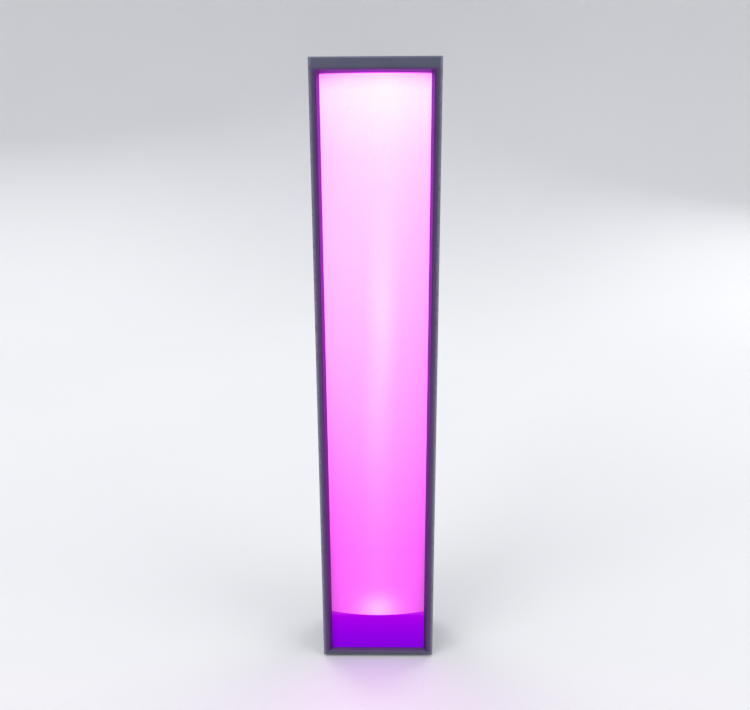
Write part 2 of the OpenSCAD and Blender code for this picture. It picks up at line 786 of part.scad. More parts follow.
module dial_knob() {
    y0 = y_panel + 1.2;
    grooves = 24;
    color("dimgray") difference() {
        rod_y(0, dial_z, y0, y0 + dial_h, dial_d / 2);
        rod_y(0, dial_z, y0 - 1, y_panel + 7.4, shaft_r + 0.02);
        rod_y(0, dial_z, y0 - 1, y0 + 1.6, bushing_r + 1.2);
        for (i = [0 : grooves - 1]) translate([0, 0, dial_z]) rotate([0, i * 360 / grooves, 0])
            translate([dial_d / 2 + 0.5, y0 - 1, 0]) rotate([-90, 0, 0]) cylinder(h = dial_h + 2, r = 1, $fn = 24);
        rod_y(0, dial_z, y0 + dial_h - 0.6, y0 + dial_h + 1, dial_d / 2 - 2.8);
    }
}

// Bright disc let into the face of the dial, with a pointer dimple
module dial_cap() {
    y1 = y_panel + 1.2 + dial_h;
    color("silver") difference() {
        rod_y(0, dial_z, y1 - 0.6, y1 + 0.3, dial_d / 2 - 2.9);
        rod_y(0, dial_z + dial_d / 2 - 5.4, y1 - 0.2, y1 + 1, 1.1);
    }
}

module switch_knob() {
    skirt_half = (switch_slot_w + switch_travel) / 2;
    color("orange") translate([-switch_travel / 2, 0, switch_z]) {
        difference() {
            span([-switch_knob_w / 2, y_plug - 0.1, -2.1], [switch_knob_w / 2, y_panel + 0.9, 2.1]);
            for (x = [-1.3, 0, 1.3]) span([x - 0.3, y_panel + 0.5, -3], [x + 0.3, y_panel + 2, 3]);
        }
        span([-skirt_half, y_plug - 0.8, -3.3], [skirt_half, y_plug - 0.05, 3.3]);
    }
}

module port_cover() {
    x0 = body_w / 2 - cover_t - 0.05;
    color("black") {
        span([x0, port_y - cover_w / 2, cover_hinge_z], [x0 + cover_t, port_y + cover_w / 2, port_z + cover_h / 2]);
        translate([cover_hinge_x, port_y - cover_w / 2, cover_hinge_z]) rotate([-90, 0, 0])
            cylinder(h = cover_w, r = cover_t / 2);
        span([x0 - 0.9, port_y - 0.9, port_z - 3.4], [x0 + 0.1, port_y + 0.9, port_z + 3.4]);
    }
}

// ---------- ends ----------

module hanging_loop() {
    color("silver") translate([0, 0, loop_z]) {
        for (s = [-1, 1]) {
            rod_y(s * loop_half, 0, loop_y0 + loop_corner, loop_y1, loop_r);
            translate([s * loop_half, loop_y1, 0]) sphere(loop_r);
            rod_x(loop_y1, 0, s > 0 ? loop_half : -loop_well_half - loop_pin,
                  s > 0 ? loop_well_half + loop_pin : -loop_half, loop_r);
            translate([s * (loop_half - loop_corner), loop_y0 + loop_corner, 0])
                rotate([0, 0, s > 0 ? -90 : 180]) rotate_extrude(angle = 90) translate([loop_corner, 0]) circle(loop_r);
        }
        rod_x(loop_y0, 0, -loop_half + loop_corner, loop_half - loop_corner, loop_r);
    }
}

module top_insert() {
    color("goldenrod") translate([0, top_insert_y, loop_well_z]) mirror([0, 0, 1]) insert(top_insert_len, insert_flange_t);
}

module base_insert() {
    color("goldenrod") insert(base_insert_len, foot_t);
}

module rubber_foot() {
    color("black") difference() {
        linear_extrude(foot_t) translate([0, 1]) rounded(2 * foot_half, 30, 4);
        translate([0, 0, -1]) cylinder(h = foot_t + 2, r = insert_flange_r + slip);
        for (s = [-1, 1]) rod_z(s * 12, 3, magnet_z - 0.05, foot_t + 1, magnet_r + slip);
    }
}

module base_magnets() {
    color("silver") for (s = [-1, 1]) rod_z(s * 12, 3, magnet_z, magnet_z + magnet_t, magnet_r);
}

// ---------- rear mount ----------

module rail_stops() {
    color("black") for (z = [rail_z0 + 0.5, rail_z1 - 0.5 - stop_h]) difference() {
        span([-rail_slot_half + 0.2, y_back + 0.1, z], [rail_slot_half - 0.2, y_back + 2.7, z + stop_h]);
        rod_y(0, z + stop_h / 2, y_back - 1, y_back + 4, m2_r + 0.05);
        translate([0, y_back + 2.7 + eps, z + stop_h / 2]) rotate([90, 0, 0])
            cylinder(h = 0.7, r1 = 1.65, r2 = m2_r);
    }
}

module mount_shoe() {
    color("dimgray") difference() {
        union() {
            translate([0, 0, pivot_z]) {
                span([-rail_slot_half + 0.3, y_back + 0.3, -shoe_len / 2],
                     [rail_slot_half - 0.3, y_back + 0.3 + shoe_flange_t, shoe_len / 2]);
                span([-rail_mouth_half + 0.3, y_back + 0.3, -shoe_len / 2],
                     [rail_mouth_half - 0.3, y_shoe_plate + 0.2, shoe_len / 2]);
                span([-ear_in - ear_t, y_shoe_plate, -shoe_len / 2],
                     [ear_in + ear_t, y_shoe_plate + shoe_plate_t, shoe_len / 2]);
            }
            for (x = [-ear_in - ear_t, ear_in]) {
                translate([0, 0, pivot_z])
                    span([x, y_shoe_plate + shoe_plate_t - 0.2, -ear_r], [x + ear_t, pivot_y, ear_r]);
                rod_x(pivot_y, pivot_z, x, x + ear_t, ear_r);
            }
        }
        rod_x(pivot_y, pivot_z, -20, 20, bolt_r + slip);
    }
}

module tilt_bolt() {
    head_x = -ear_in - ear_t - 3;
    color("silver") difference() {
        union() {
            rod_x(pivot_y, pivot_z, head_x + 2.8, knob_x + knob_t - 2, bolt_r);
            rod_x(pivot_y, pivot_z, head_x, head_x + 2.9, 5);
        }
        translate([head_x - 1, pivot_y, pivot_z]) rotate([0, 90, 0]) cylinder(h = 2.8, r = 2.4, $fn = 6);
    }
}

module friction_washers() {
    color("white") for (x = [-ear_in + 0.05, arm_half + 0.05]) difference() {
        rod_x(pivot_y, pivot_z, x, x + 0.5, 5.6);
        rod_x(pivot_y, pivot_z, x - 1, x + 2, bolt_r + slip);
    }
}

module tilt_arm() {
    pad_z = pivot_z - arm_len;
    color("dimgray") difference() {
        union() {
            rod_x(pivot_y, pivot_z, -arm_half, arm_half, ear_r);
            span([-arm_half, pivot_y - arm_t, pad_z], [arm_half, pivot_y, pivot_z]);
            rod_y(0, pad_z, pivot_y - arm_t, pivot_y, arm_pad_r);
        }
        rod_x(pivot_y, pivot_z, -20, 20, bolt_r + slip);
        rod_y(0, pad_z, pivot_y - arm_t - 1, pivot_y + 1, insert_barrel_r);
        rod_y(0, pad_z, pivot_y - insert_flange_t, pivot_y + 1, insert_flange_r);
        span([-2.4, pivot_y - 1.2, pad_z + 13], [2.4, pivot_y + 1, pivot_z - 10]);
    }
}

module arm_insert() {
    color("goldenrod") translate([0, pivot_y, pivot_z - arm_len]) rotate([90, 0, 0]) insert(arm_t, insert_flange_t);
}

module lock_knob() {
    lobes = 6;
    color("black") difference() {
        union() {
            rod_x(pivot_y, pivot_z, knob_x, knob_x + knob_t, knob_r - 1.8);
            rod_x(pivot_y, pivot_z, knob_x - 0.4, knob_x + 1, 4.6);
            for (i = [0 : lobes - 1]) translate([0, pivot_y, pivot_z]) rotate([i * 360 / lobes, 0, 0])
                translate([knob_x + 1, knob_r - 2.4, 0]) rotate([0, 90, 0]) cylinder(h = knob_t - 1, r = 2.4);
        }
        rod_x(pivot_y, pivot_z, knob_x - 1, knob_x + knob_t - 1.6, bolt_r + slip);
    }
}

// ---------- one node at a time ----------

housing();
front_frame();
top_cap();
bottom_cap();
top_gasket();
bottom_gasket();
diffuser();
base_lens();
lens_gasket();
reflector();
divider();
led_board();
thermal_pad();
strip_leds();
base_leds();
top_led_board();
uplight_board();
end_leds();
battery_cells();
battery_cradle();
battery_contacts();
protection_board();
battery_leads();
flex_cable();
control_board();
board_chips();
power_inductors();
panel_switches();
encoder_body();
port_board();
usb_socket();
display_module();
display_window();
control_panel();
panel_screws();
board_screws();
cap_screws();
frame_screws();
top_insert();
base_insert();
rubber_foot();
base_magnets();
rail_stops();
power_button();
mode_button();
effect_button();
encoder_plunger();
encoder_shaft();
dial_knob();
dial_cap();
switch_knob();
port_cover();
hanging_loop();
mount_shoe();
tilt_bolt();
friction_washers();
tilt_arm();
arm_insert();
lock_knob();
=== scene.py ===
"""Looks of the LED light tube: materials, printed marks, threads, lit display, floor, light and camera.

Everything is in metres in the CAD frame: +Z runs up the tube, the lit front faces -Y and the base is at z 0.
"""

import math

import bmesh
import bpy
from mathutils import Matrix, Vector


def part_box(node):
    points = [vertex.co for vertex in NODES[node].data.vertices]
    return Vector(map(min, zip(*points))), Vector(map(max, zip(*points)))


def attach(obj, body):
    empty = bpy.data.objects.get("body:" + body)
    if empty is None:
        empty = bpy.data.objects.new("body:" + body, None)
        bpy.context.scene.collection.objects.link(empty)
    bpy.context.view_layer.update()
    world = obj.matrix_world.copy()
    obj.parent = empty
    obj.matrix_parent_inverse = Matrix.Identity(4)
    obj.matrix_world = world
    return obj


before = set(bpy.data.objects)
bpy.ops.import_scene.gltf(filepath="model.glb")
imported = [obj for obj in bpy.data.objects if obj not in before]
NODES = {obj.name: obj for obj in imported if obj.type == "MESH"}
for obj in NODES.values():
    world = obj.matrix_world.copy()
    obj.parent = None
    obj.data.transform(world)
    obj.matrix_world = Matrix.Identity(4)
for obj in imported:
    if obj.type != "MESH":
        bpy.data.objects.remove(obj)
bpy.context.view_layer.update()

MM = 0.001
BODY = "light_body"
FAR = 1.0                   # past every part of the light, for a box that has no edges along one axis
NOISE_RANGE = (0.3, 0.7)    # what a noise texture's value mostly stays between


# ---------- material kit ----------

class Material:
    """One Principled material, with short calls for the nodes that feed it."""

    def __init__(self, name):
        self.data = bpy.data.materials.new(name)
        self.data.use_nodes = True
        self.tree = self.data.node_tree
        self.shader = self.tree.nodes["Principled BSDF"]
        self.place = self.node("ShaderNodeTexCoord").outputs["Object"]
        self.heights = []

    def put(self, socket, value):
        if isinstance(value, bpy.types.NodeSocket):
            self.tree.links.new(value, socket)
        else:
            socket.default_value = value

    def node(self, kind, inputs=None, **settings):
        made = self.tree.nodes.new(kind)
        for key, value in settings.items():
            setattr(made, key, value)
        for key, value in (inputs or {}).items():
            self.put(made.inputs[key], value)
        return made

    def calc(self, operation, a, b=0.0, clamp=False):
        return self.node("ShaderNodeMath", {0: a, 1: b}, operation=operation, use_clamp=clamp).outputs[0]

    def vector(self, operation, a, b=(0, 0, 0)):
        return self.node("ShaderNodeVectorMath", {0: a, 1: b}, operation=operation).outputs[0]

    def axes(self):
        parts = self.node("ShaderNodeSeparateXYZ", {0: self.place})
        return parts.outputs["X"], parts.outputs["Y"], parts.outputs["Z"]

    def stretched(self, stretch):
        if stretch is None:
            return self.place
        return self.vector("MULTIPLY", self.place, stretch)

    def noise(self, scale, detail=2.0, roughness=0.5, stretch=None):
        place = self.stretched(stretch)
        inputs = {"Vector": place, "Scale": scale, "Detail": detail, "Roughness": roughness}
        return self.node("ShaderNodeTexNoise", inputs).outputs["Fac"]

    def cells(self, scale):
        return self.node("ShaderNodeTexVoronoi", {"Vector": self.place, "Scale": scale}).outputs["Distance"]

    def spread(self, factor, low, high, to_low=0.0, to_high=1.0, smooth=False):
        inputs = {"Value": factor, "From Min": low, "From Max": high, "To Min": to_low, "To Max": to_high}
        kind = "SMOOTHSTEP" if smooth else "LINEAR"
        return self.node("ShaderNodeMapRange", inputs, interpolation_type=kind).outputs["Result"]

    def vary(self, noise, low, high):
        """Runs from low to high over the range of a noise."""
        return self.spread(noise, *NOISE_RANGE, low, high)

    def ramp(self, factor, stops):
        made = self.node("ShaderNodeValToRGB", {"Fac": factor})
        elements = made.color_ramp.elements
        while len(elements) < len(stops):
            elements.new(0.5)
        for element, (position, colour) in zip(elements, stops):
            element.position = position
            element.color = (*colour, 1) if isinstance(colour, tuple) else (colour, colour, colour, 1)
        return made.outputs["Color"]

    def blend(self, factor, a, b, kind="MIX"):
        made = self.node("ShaderNodeMix", data_type="RGBA", blend_type=kind)
        for index, value in ((0, factor), (6, a), (7, b)):
            self.put(made.inputs[index], (*value, 1) if isinstance(value, tuple) else value)
        return made.outputs[2]

    def scaled(self, colour, factor):
        made = self.node("ShaderNodeVectorMath", {"Scale": factor}, operation="SCALE")
        self.put(made.inputs[0], colour)
        return made.outputs[0]

    def waves(self, distance, pitch):
        return self.calc("SINE", self.calc("MULTIPLY", distance, 2 * math.pi / pitch))

    def near_edges(self, low, high, width):
        """1 along the edges of the box from low to high, falling to 0 a width away from them."""
        middle, half = (low + high) / 2, (high - low) / 2
        apart = self.vector("ABSOLUTE", self.vector("SUBTRACT", self.place, middle))
        x, y, z = self.node("ShaderNodeSeparateXYZ", {0: self.vector("SUBTRACT", half, apart)}).outputs
        nearer, farther = self.calc("MINIMUM", x, y), self.calc("MAXIMUM", x, y)
        second_nearest = self.calc("MAXIMUM", nearer, self.calc("MINIMUM", farther, z))
        return self.spread(second_nearest, width, 0.0)

    def raise_by(self, height, depth):
        """Adds a bump: height from 0 to 1 stands depth metres proud."""
        self.heights.append((height, depth))

    def set(self, colour, metallic, roughness, **more):
        """Feeds the shader with its bumps, one on top of the other, and its values."""
        values = {"Base Color": colour, "Metallic": metallic, "Roughness": roughness, **more}
        below = {}
        for height, depth in self.heights:
            inputs = {"Height": height, "Distance": depth, "Strength": 1.0, **below}
            bump = self.node("ShaderNodeBump", inputs)
            below = {"Normal": bump.outputs["Normal"]}
        for key, value in {**below, **values}.items():
            self.put(self.shader.inputs[key], (*value, 1) if isinstance(value, tuple) else value)
        return self.data


BROAD_SCALE, PATCH_SCALE, BRUSH_SCALE, WEAR_AND_HIGHLIGHT_SCALE = 38, 140, 1500, 420    # noise cells in a metre


def finish_of(name, colour, metallic, roughness, grain, mottle, smudge=0.08,
              brushed=None, wear_and_highlight=None, rings=None, cast=None, **more):
    """A solid finish with colour variation, smudges and fine grain, and more on request.

    grain: scale and depth of the finest texture
    brushed: stretch that draws a second grain into lines
    worn: (low, high, width, colour, bare, full), a box whose edges are made brighter, by wear on most parts
    and by a painted highlight on the frame, not at all where a noise is under bare and wholly where it is
    over full
    rings: (centre, axis, spacing) of turning lines
    cast: (strength, colour) of a painted glow, coloured light painted into the surface's colour, where
    strength is a function of it
    """
    m = Material(name)
    scale, depth = grain
    fine = m.noise(scale, 3.0, 0.6)
    broad = m.noise(BROAD_SCALE, 3.0, 0.55)
    patch = m.noise(PATCH_SCALE, 2.0, 0.5)
    shade = m.calc("ADD", m.vary(broad, 1 - mottle, 1 + mottle), m.vary(fine, -mottle, mottle))
    tone = m.scaled(colour, shade)
    rough = m.calc("ADD", m.spread(patch, 0.35, 0.7, roughness - smudge, roughness + smudge),
                   m.vary(fine, -0.03, 0.03), clamp=True)
    m.raise_by(fine, depth)
    if brushed:
        lines = m.noise(BRUSH_SCALE, 3.0, 0.7, stretch=brushed)
        m.raise_by(lines, depth)
        rough = m.calc("ADD", rough, m.vary(lines, -0.06, 0.06), clamp=True)
        tone = m.scaled(tone, m.vary(lines, 0.95, 1.05))
    if rings:
        centre, axis, spacing = rings
        flat = Vector(1 if k != axis else 0 for k in range(3))
        offset = m.vector("MULTIPLY", m.vector("SUBTRACT", m.place, centre), flat)
        distance = m.node("ShaderNodeVectorMath", {0: offset}, operation="LENGTH").outputs["Value"]
        turn = m.waves(distance, spacing)
        m.raise_by(m.spread(turn, -1, 1), spacing * 0.03)
        tone = m.scaled(tone, m.spread(turn, -1, 1, 0.93, 1.05))
    if cast:
        strength, tint = cast
        # painted light: the coloured glow is multiplied into the base colour
        tone = m.blend(strength(m), tone, tint, "MULTIPLY")
    # brighter edges: wear on most parts, and a painted highlight along the frame's upright edges
    if wear_and_highlight:
        low, high, width, bright, bare, full = wear_and_highlight
        scuff_and_highlight_spread = m.spread(m.noise(WEAR_AND_HIGHLIGHT_SCALE, 4.0, 0.65), bare, full)
        wear_and_highlight_mask = m.calc("MULTIPLY", m.near_edges(low, high, width), scuff_and_highlight_spread)
        tone = m.blend(wear_and_highlight_mask, tone, bright)
        rough = m.calc("SUBTRACT", rough, m.calc("MULTIPLY", wear_and_highlight_mask, 0.12), clamp=True)
    return m.set(tone, metallic, rough, **more)


def centre_of(name):
    low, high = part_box(name)
    return (low + high) / 2


def dress(material, *names):
    for name in names:
        for place in NODES[name].material_slots:
            place.material = material


WELD_GAP = 0.002 * MM
FLAT_WITHIN, SHARP_OVER = math.radians(0.6), math.radians(32)


def soften(width, *names):
    """Rounds a CAD node's sharp edges with modifiers, so that they catch the light."""
    for name in names:
        node = NODES[name]
        weld = node.modifiers.new("join_split_corners", "WELD")
        weld.merge_threshold = WELD_GAP
        flat = node.modifiers.new("whole_flat_faces", "DECIMATE")
        flat.decimate_type = "DISSOLVE"
        flat.angle_limit = FLAT_WITHIN
        bevel = node.modifiers.new("soft_edges", "BEVEL")
        bevel.width = width
        bevel.segments = 2
        bevel.limit_method = "ANGLE"
        bevel.angle_limit = SHARP_OVER
        bevel.harden_normals = False
        shade = node.modifiers.new("even_shading", "WEIGHTED_NORMAL")
        shade.keep_sharp = False
        shade.weight = 100


# ---------- lit front ----------

RED_TO_GREEN, BLUE_TO_GREEN = 8.1, 7.9    # the magenta of the LEDs, which overexposes to a pink white
BRIGHTEST = 3.9                           # red and blue stop here, well past the white of the picture
DIFFUSER_FLANGE = 2.4 * MM                # what the frame's lip covers on each side


def magenta_light(m, green):
    """LED magenta whose green level is given; red and blue follow it up to BRIGHTEST."""
    red = m.calc("MULTIPLY", green, RED_TO_GREEN / BRIGHTEST, clamp=True)
    blue = m.calc("MULTIPLY", green, BLUE_TO_GREEN / BRIGHTEST, clamp=True)
    inputs = {"Red": red, "Green": m.calc("DIVIDE", green, BRIGHTEST), "Blue": blue}
    return m.node("ShaderNodeCombineColor", inputs).outputs[0]


def bump_of(m, x, z, centre_x, centre_z, radius_x, radius_z):
    """A soft round spot: 1 at its centre, falling off as a bell."""
    dx = m.calc("DIVIDE", m.calc("SUBTRACT", x, centre_x), radius_x)
    dz = m.calc("DIVIDE", m.calc("SUBTRACT", z, centre_z), radius_z)
    reach = m.calc("ADD", m.calc("MULTIPLY", dx, dx), m.calc("MULTIPLY", dz, dz))
    return m.calc("EXPONENT", m.calc("MULTIPLY", reach, -1.0))


def opal_diffuser():
    """Opal plastic over LEDs: near white at the top, pinker downwards, with a soft ridge of light along it.

    Every level is one of green light, at heights from 0 at the lower end to 1 at the upper end.
    """
    m = Material("opal_diffuser")
    x, _, z = m.axes()
    low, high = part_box("diffuser")
    half = high.x - DIFFUSER_FLANGE
    up = m.spread(z, low.z, high.z)
    edge = m.ramp(up, [(0.0, 0.085), (0.14, 0.105), (0.24, 0.15), (0.34, 0.22), (0.44, 0.29), (0.62, 0.41),
                       (0.8, 0.51), (0.87, 0.565), (0.955, 0.72), (0.975, 0.71), (0.988, 0.58), (1.0, 0.34)])
    dome = m.ramp(up, [(0.0, 0.055), (0.5, 0.075), (0.8, 0.095), (0.96, 0.14), (1.0, 0.21)])
    crest = m.ramp(up, [(0.1, 0.015), (0.3, 0.04), (0.44, 0.10), (0.62, 0.155), (0.72, 0.08), (0.82, 0.025),
                        (0.93, 0.02), (1.0, 0.05)])
    # the ridge wanders to the right on its way up
    wander = m.calc("ADD", m.spread(up, 0.44, 0.54, 0.5 * MM, 2.8 * MM),
                    m.spread(up, 0.66, 0.97, 0.0, 2.0 * MM))
    across = m.calc("DIVIDE", x, half)
    off = m.calc("DIVIDE", m.calc("SUBTRACT", x, wander), half)
    broad = m.calc("SUBTRACT", 1.0, m.calc("MULTIPLY", across, across))
    thin = m.spread(m.calc("ABSOLUTE", off), 0.42, 0.0, smooth=True)
    level = m.calc("ADD", edge, m.calc("MULTIPLY", broad, dome))
    level = m.calc("ADD", level, m.calc("MULTIPLY", thin, crest))
    # the left side is brighter in the middle of the tube, the right side near the top
    lean = m.calc("ADD", m.spread(up, 0.3, 0.55, 0.0, -0.03), m.spread(up, 0.74, 0.95, 0.0, 0.07))
    level = m.calc("ADD", level, m.calc("MULTIPLY", lean, across))
    # the LED that shines up from the divider
    level = m.calc("ADD", level, m.calc("MULTIPLY", 0.31, bump_of(
        m, x, z, 0.4 * MM, low.z + 3 * MM, 9.5 * MM, 8.5 * MM)))
    clouding = m.noise(900, 4.0, 0.6)
    level = m.calc("MULTIPLY", level, m.vary(clouding, 0.97, 1.03))
    m.raise_by(m.noise(4200, 2.0, 0.5), 6e-6)
    rough = m.vary(m.noise(70, 2.0), 0.42, 0.55)
    plain = m.scaled((0.12, 0.014, 0.12), m.vary(clouding, 0.92, 1.08))
    light = magenta_light(m, level)
    return m.set(plain, 0.0, rough, **{
        "Emission Color": light, "Emission Strength": BRIGHTEST, "Specular IOR Level": 0.2})


def violet_lens():
    """The flat strip over the violet LEDs at the base, a little pinker under the diffuser's edge."""
    m = Material("violet_lens")
    low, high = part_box("base_lens")
    x, _, z = m.axes()
    up = m.spread(z, low.z, high.z)
    body = m.ramp(up, [(0.0, (0.22, 0.0, 0.72)), (0.45, (0.29, 0.0, 0.78)), (0.8, (0.36, 0.0, 0.80)),
                       (0.95, (0.44, 0.0, 0.82)), (1.0, (0.55, 0.01, 0.84))])
    left = m.spread(x, low.x, low.x + 7 * MM, 0.72, 1.0, smooth=True)
    cloud = m.vary(m.noise(700, 4.0, 0.6), 0.95, 1.05)
    light = m.scaled(m.scaled(body, left), cloud)
    m.raise_by(m.noise(4200, 2.0, 0.5), 6e-6)
    rough = m.vary(m.noise(90, 2.0), 0.40, 0.5)
    return m.set(m.scaled((0.008, 0.0005, 0.02), cloud), 0.0, rough, **{
        "Emission Color": light, "Emission Strength": 1.0, "Specular IOR Level": 0.0})


dress(opal_diffuser(), "diffuser")
dress(violet_lens(), "base_lens")

# ---------- metal casing ----------

GUNMETAL = (0.112, 0.116, 0.172)
RUBBED = (0.20, 0.205, 0.27)
PATCHY, ALL_ALONG_HIGHLIGHT = (0.36, 0.62), (0.2, 0.55)    # bare and full of wear that comes in patches, or of a painted highlight, with a little wear, that runs all along
case_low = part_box("front_frame")[0]
case_high = Vector((-case_low.x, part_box("top_cap")[1].y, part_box("front_frame")[1].z))
SIDE_BORDER, TOP_BORDER, BASE_BORDER = 4.8 * MM, 6.8 * MM, 3.8 * MM   # the frame's widths round its window
BEVEL_DEPTH = 1.6 * MM
# the colour of the painted magenta glow on the frame's front round the window
PAINTED_MAGENTA_GLOW = (0.86, 0.24, 0.88)
FADE_ABOVE, FADE_BELOW = 2.6 * MM, 1.6 * MM     # how far the painted magenta glow reaches past the window's ends
CASE_WEAR = (case_low, case_high, 0.9 * MM, RUBBED, *PATCHY)
# the frame gets a painted highlight, with a little wear, along its upright edges, and none along its ends
FRAME_WEAR_AND_HIGHLIGHT = (Vector((case_low.x, case_low.y, -FAR)), Vector((case_high.x, case_high.y, FAR)),
              1.6 * MM, (0.29, 0.285, 0.345), *ALL_ALONG_HIGHLIGHT)


def anodised(name, colour, grain, wear_and_highlight=CASE_WEAR, **more):
    """The satin grey of the casing, made a little brighter by wear along the casing's outer edges, or by a
    painted highlight along the edges of another box given instead.
    """
    return finish_of(name, colour, 0.65, 0.42, grain, mottle=0.05, smudge=0.06, wear_and_highlight=wear_and_highlight, **more)


def painted_window_glow(m):
    """Painted magenta glow: 1 on the frame's front at the window's edge, fading out across the borders."""
    x, y, z = m.axes()
    beside = m.calc("SUBTRACT", m.calc("ABSOLUTE", x), case_high.x - SIDE_BORDER)
    above = m.calc("MULTIPLY", m.calc("SUBTRACT", z, case_high.z - TOP_BORDER), SIDE_BORDER / FADE_ABOVE)
    below = m.calc("MULTIPLY", m.calc("SUBTRACT", case_low.z + BASE_BORDER, z), SIDE_BORDER / FADE_BELOW)
    away = m.calc("MAXIMUM", m.calc("MAXIMUM", beside, above), below)
    bevel_y = case_low.y + BEVEL_DEPTH
    front = m.spread(y, bevel_y + 0.4 * MM, bevel_y)
    return m.calc("MULTIPLY", m.spread(away, SIDE_BORDER, BEVEL_DEPTH), front)


# the frame's front takes a painted magenta glow round the window and a painted highlight, with a little
# wear, along its upright edges
dress(anodised("anodised_frame", GUNMETAL, (5200, 5e-6), cast=(painted_window_glow, PAINTED_MAGENTA_GLOW),
               wear_and_highlight=FRAME_WEAR_AND_HIGHLIGHT), "front_frame")
dress(anodised("anodised_tube", (0.092, 0.096, 0.136), (5200, 3e-6), brushed=(1.0, 1.0, 0.012)), "housing")
dress(anodised("anodised_caps", (0.098, 0.102, 0.146), (5200, 5e-6)), "top_cap", "bottom_cap")
for finish, node in (("mount_anodising", "mount_shoe"), ("arm_anodising", "tilt_arm")):
    dress(finish_of(finish, (0.030, 0.031, 0.035), 0.55, 0.40, (5200, 5e-6), mottle=0.08,
                    wear_and_highlight=(*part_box(node), 0.8 * MM, (0.16, 0.16, 0.17), *PATCHY)), node)

# ---------- metals and hardware ----------

dress(finish_of("steel_wire", (0.56, 0.56, 0.58), 1.0, 0.24, (3000, 3e-6), mottle=0.05), "hanging_loop")
dress(finish_of("bolt_steel", (0.46, 0.46, 0.48), 1.0, 0.30, (3000, 4e-6), mottle=0.06), "tilt_bolt")
dress(finish_of("plated_steel", (0.50, 0.50, 0.50), 1.0, 0.30, (2600, 4e-6), mottle=0.06),
      "panel_switches", "encoder_body", "usb_socket", "encoder_plunger", "encoder_shaft")
dress(finish_of("black_oxide", (0.035, 0.035, 0.038), 0.85, 0.36, (2600, 5e-6), mottle=0.15),
      "panel_screws", "board_screws", "cap_screws", "frame_screws")
dress(finish_of("nickel", (0.62, 0.60, 0.56), 1.0, 0.16, (1800, 2e-6), mottle=0.04), "base_magnets")
dress(finish_of("nickel_strip", (0.55, 0.53, 0.49), 1.0, 0.34, (2200, 5e-6), mottle=0.08),
      "battery_contacts")
BRASS = (0.62, 0.42, 0.16)
for insert, axis in (("top_insert", 2), ("base_insert", 2), ("arm_insert", 1)):
    dress(finish_of("brass_" + insert, BRASS, 1.0, 0.27, (2600, 3e-6), mottle=0.08,
                    rings=(centre_of(insert), axis, 0.16 * MM)), insert)
dress(finish_of("dial_anodising", (0.050, 0.052, 0.066), 0.7, 0.34, (4200, 4e-6), mottle=0.06,
                rings=(centre_of("dial_knob"), 1, 0.5 * MM)), "dial_knob")
dress(finish_of("dial_face", (0.50, 0.51, 0.53), 1.0, 0.28, (3600, 1e-6), mottle=0.02,
                rings=(centre_of("dial_cap"), 1, 0.6 * MM)), "dial_cap")

# ---------- plastics and rubber ----------

BLACK = (0.013, 0.0135, 0.015)
dress(finish_of("panel_plastic", BLACK, 0.0, 0.52, (2600, 1.1e-5), mottle=0.12, smudge=0.1,
                wear_and_highlight=(*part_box("control_panel"), 0.7 * MM, (0.045, 0.045, 0.05), *PATCHY)), "control_panel")
dress(finish_of("cradle_plastic", BLACK, 0.0, 0.55, (2200, 1.2e-5), mottle=0.12),
      "battery_cradle", "rail_stops")
dress(finish_of("lock_knob_plastic", (0.014, 0.014, 0.015), 0.0, 0.50, (1900, 1.6e-5), mottle=0.12),
      "lock_knob")
dress(finish_of("washer_nylon", (0.72, 0.71, 0.66), 0.0, 0.45, (2400, 6e-6), mottle=0.05),
      "friction_washers")
dress(finish_of("grey_button_plastic", (0.075, 0.078, 0.088), 0.0, 0.38, (2600, 6e-6), mottle=0.08,
                **{"Coat Weight": 0.15}), "mode_button", "effect_button")
dress(finish_of("red_button_plastic", (0.42, 0.020, 0.016), 0.0, 0.36, (2600, 6e-6), mottle=0.08,
                **{"Coat Weight": 0.15}), "power_button")
dress(finish_of("switch_plastic", (0.62, 0.115, 0.012), 0.0, 0.42, (2600, 7e-6), mottle=0.07), "switch_knob")
dress(finish_of("cover_rubber", (0.020, 0.020, 0.022), 0.0, 0.72, (1800, 1.2e-5), mottle=0.15), "port_cover")
dress(finish_of("foot_rubber", (0.018, 0.018, 0.019), 0.0, 0.78, (1500, 2.2e-5), mottle=0.18), "rubber_foot")
dress(finish_of("seal_silicone", (0.022, 0.022, 0.024), 0.0, 0.66, (1800, 8e-6), mottle=0.12),
      "top_gasket", "bottom_gasket", "lens_gasket")
dress(finish_of("white_plastic", (0.80, 0.80, 0.79), 0.0, 0.58, (2200, 8e-6), mottle=0.03),
      "reflector", "divider")
dress(finish_of("pad_silicone", (0.34, 0.37, 0.44), 0.0, 0.80, (1300, 1.5e-5), mottle=0.08), "thermal_pad")

# ---------- electronics ----------


def circuit_board(name, mask, track, pad, pitch):
    """Solder mask with raised copper tracks under it and rows of bare pads."""
    m = Material(name)
    snapped = m.vector("SNAP", m.place, (pitch,) * 3)
    route = m.node("ShaderNodeTexNoise", {"Vector": snapped, "Scale": 260.0, "Detail": 2.0}).outputs["Fac"]
    tracks = m.spread(route, 0.50, 0.53)
    dots = m.spread(m.cells(1 / (3 * pitch)), 0.16, 0.12)
    tone = m.blend(tracks, m.scaled(mask, m.vary(m.noise(300, 3.0), 0.9, 1.1)), track)
    tone = m.blend(dots, tone, pad)
    m.raise_by(tracks, 2e-5)
    rough = m.vary(m.noise(500, 2.0), 0.28, 0.4)
    return m.set(tone, m.calc("MULTIPLY", dots, 0.9), rough, **{"Coat Weight": 0.3})


